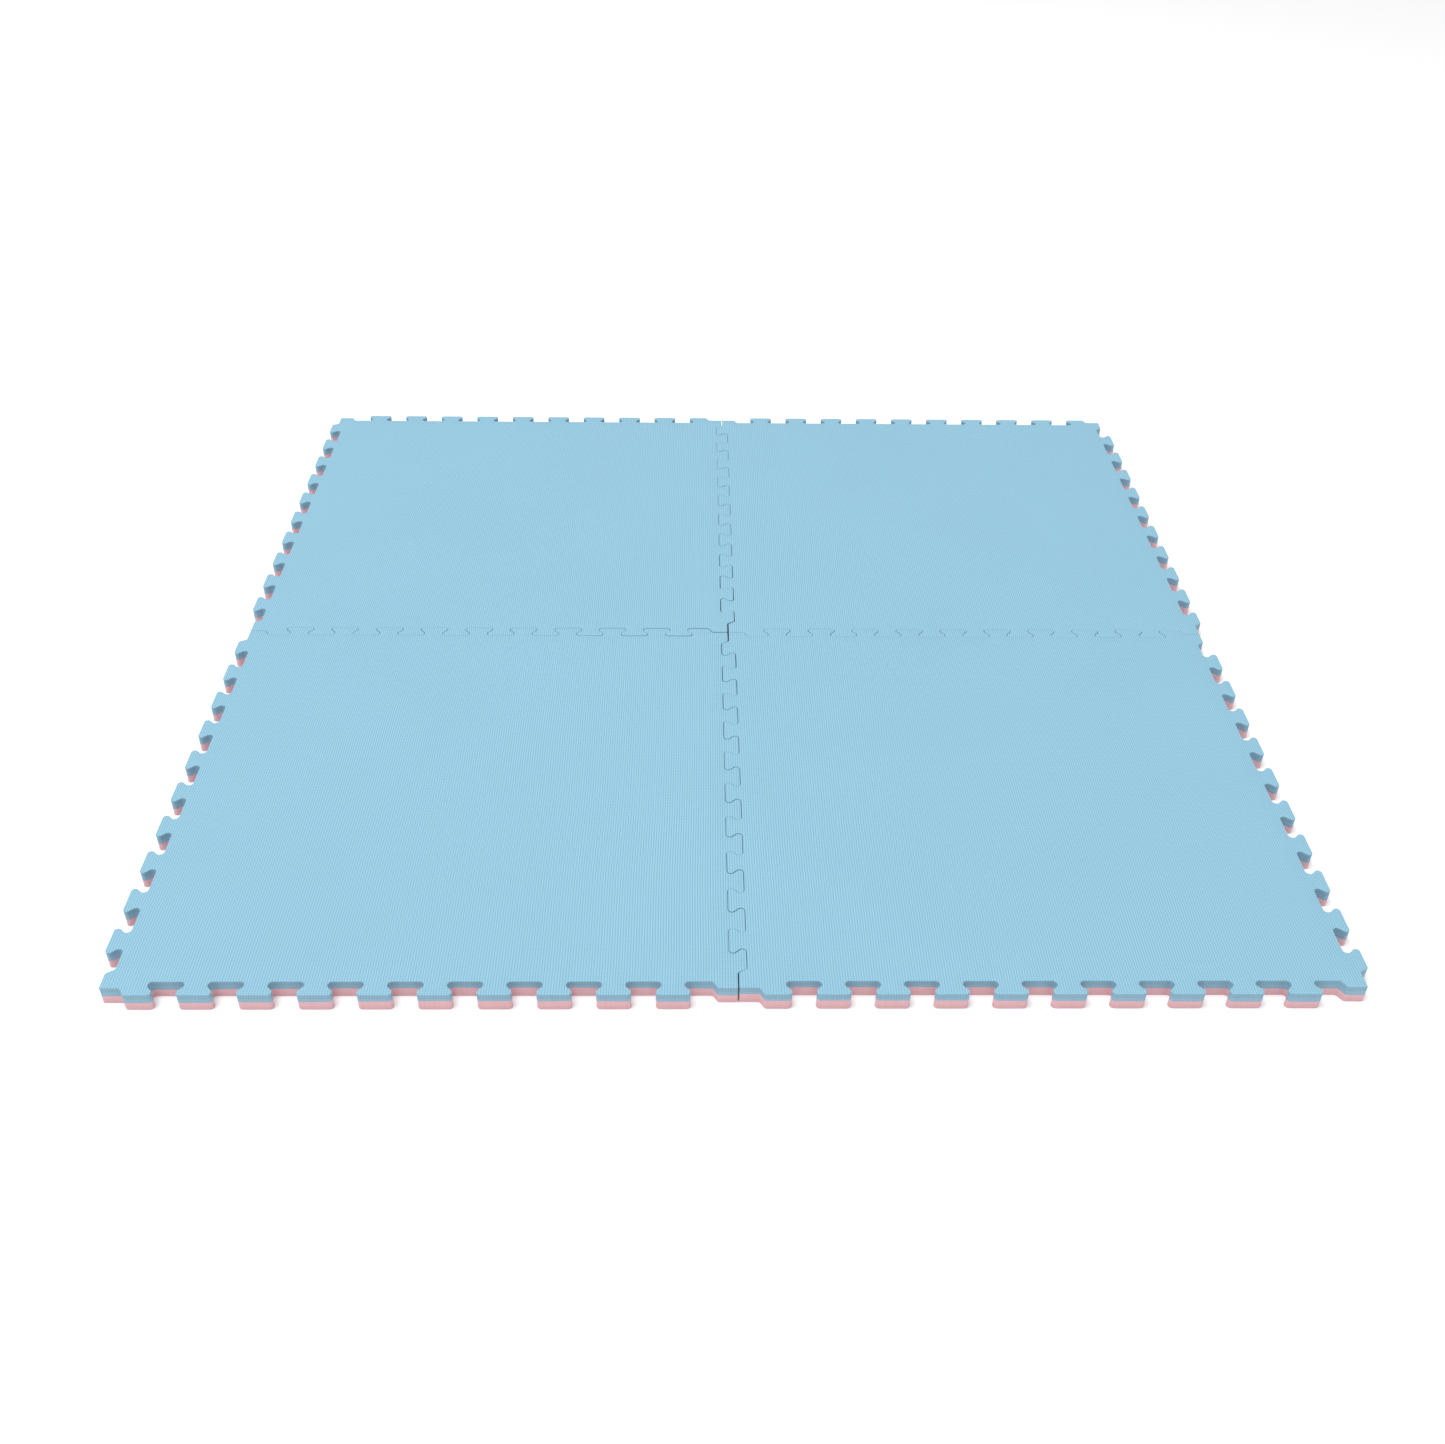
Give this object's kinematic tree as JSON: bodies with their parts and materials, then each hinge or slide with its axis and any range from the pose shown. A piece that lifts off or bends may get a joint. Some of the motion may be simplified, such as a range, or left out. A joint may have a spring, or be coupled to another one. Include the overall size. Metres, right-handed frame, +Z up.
{
  "type": "blocking mat set",
  "caption": "Square foam mats, each of two bonded layers, with dovetail tabs and slots round every edge that lock them into one flat surface for pinning out knitting and release by lifting.",
  "frame": {"origin": "middle of the joined set, on the surface it lies on", "axes": "+Z up, out of the top faces; +X to the right and +Y to the back, along the edges of the mats"},
  "size_m": [1.2166, 1.2166, 0.02],
  "materials": {
    "blue_foam": "matte closed-cell foam, embossed with a fine weave",
    "pink_foam": "matte closed-cell foam, embossed with a fine weave"
  },
  "bodies": {
    "front_left_mat": {"front_left_bottom_layer": "pink_foam", "front_left_top_layer": "blue_foam"},
    "front_right_mat": {"front_right_bottom_layer": "pink_foam", "front_right_top_layer": "blue_foam"},
    "back_left_mat": {"back_left_bottom_layer": "pink_foam", "back_left_top_layer": "blue_foam"},
    "back_right_mat": {"back_right_bottom_layer": "pink_foam", "back_right_top_layer": "blue_foam"}
  },
  "joints": [
    {"name": "front_right_lift", "type": "slide", "parent": "front_left_mat", "child": "front_right_mat", "axis": [0, 0, 1], "range_m": [0, 0.06]},
    {"name": "back_left_lift", "type": "slide", "parent": "front_left_mat", "child": "back_left_mat", "axis": [0, 0, 1], "range_m": [0, 0.06]},
    {"name": "back_right_lift", "type": "slide", "parent": "front_left_mat", "child": "back_right_mat", "axis": [0, 0, 1], "range_m": [0, 0.06]}
  ]
}
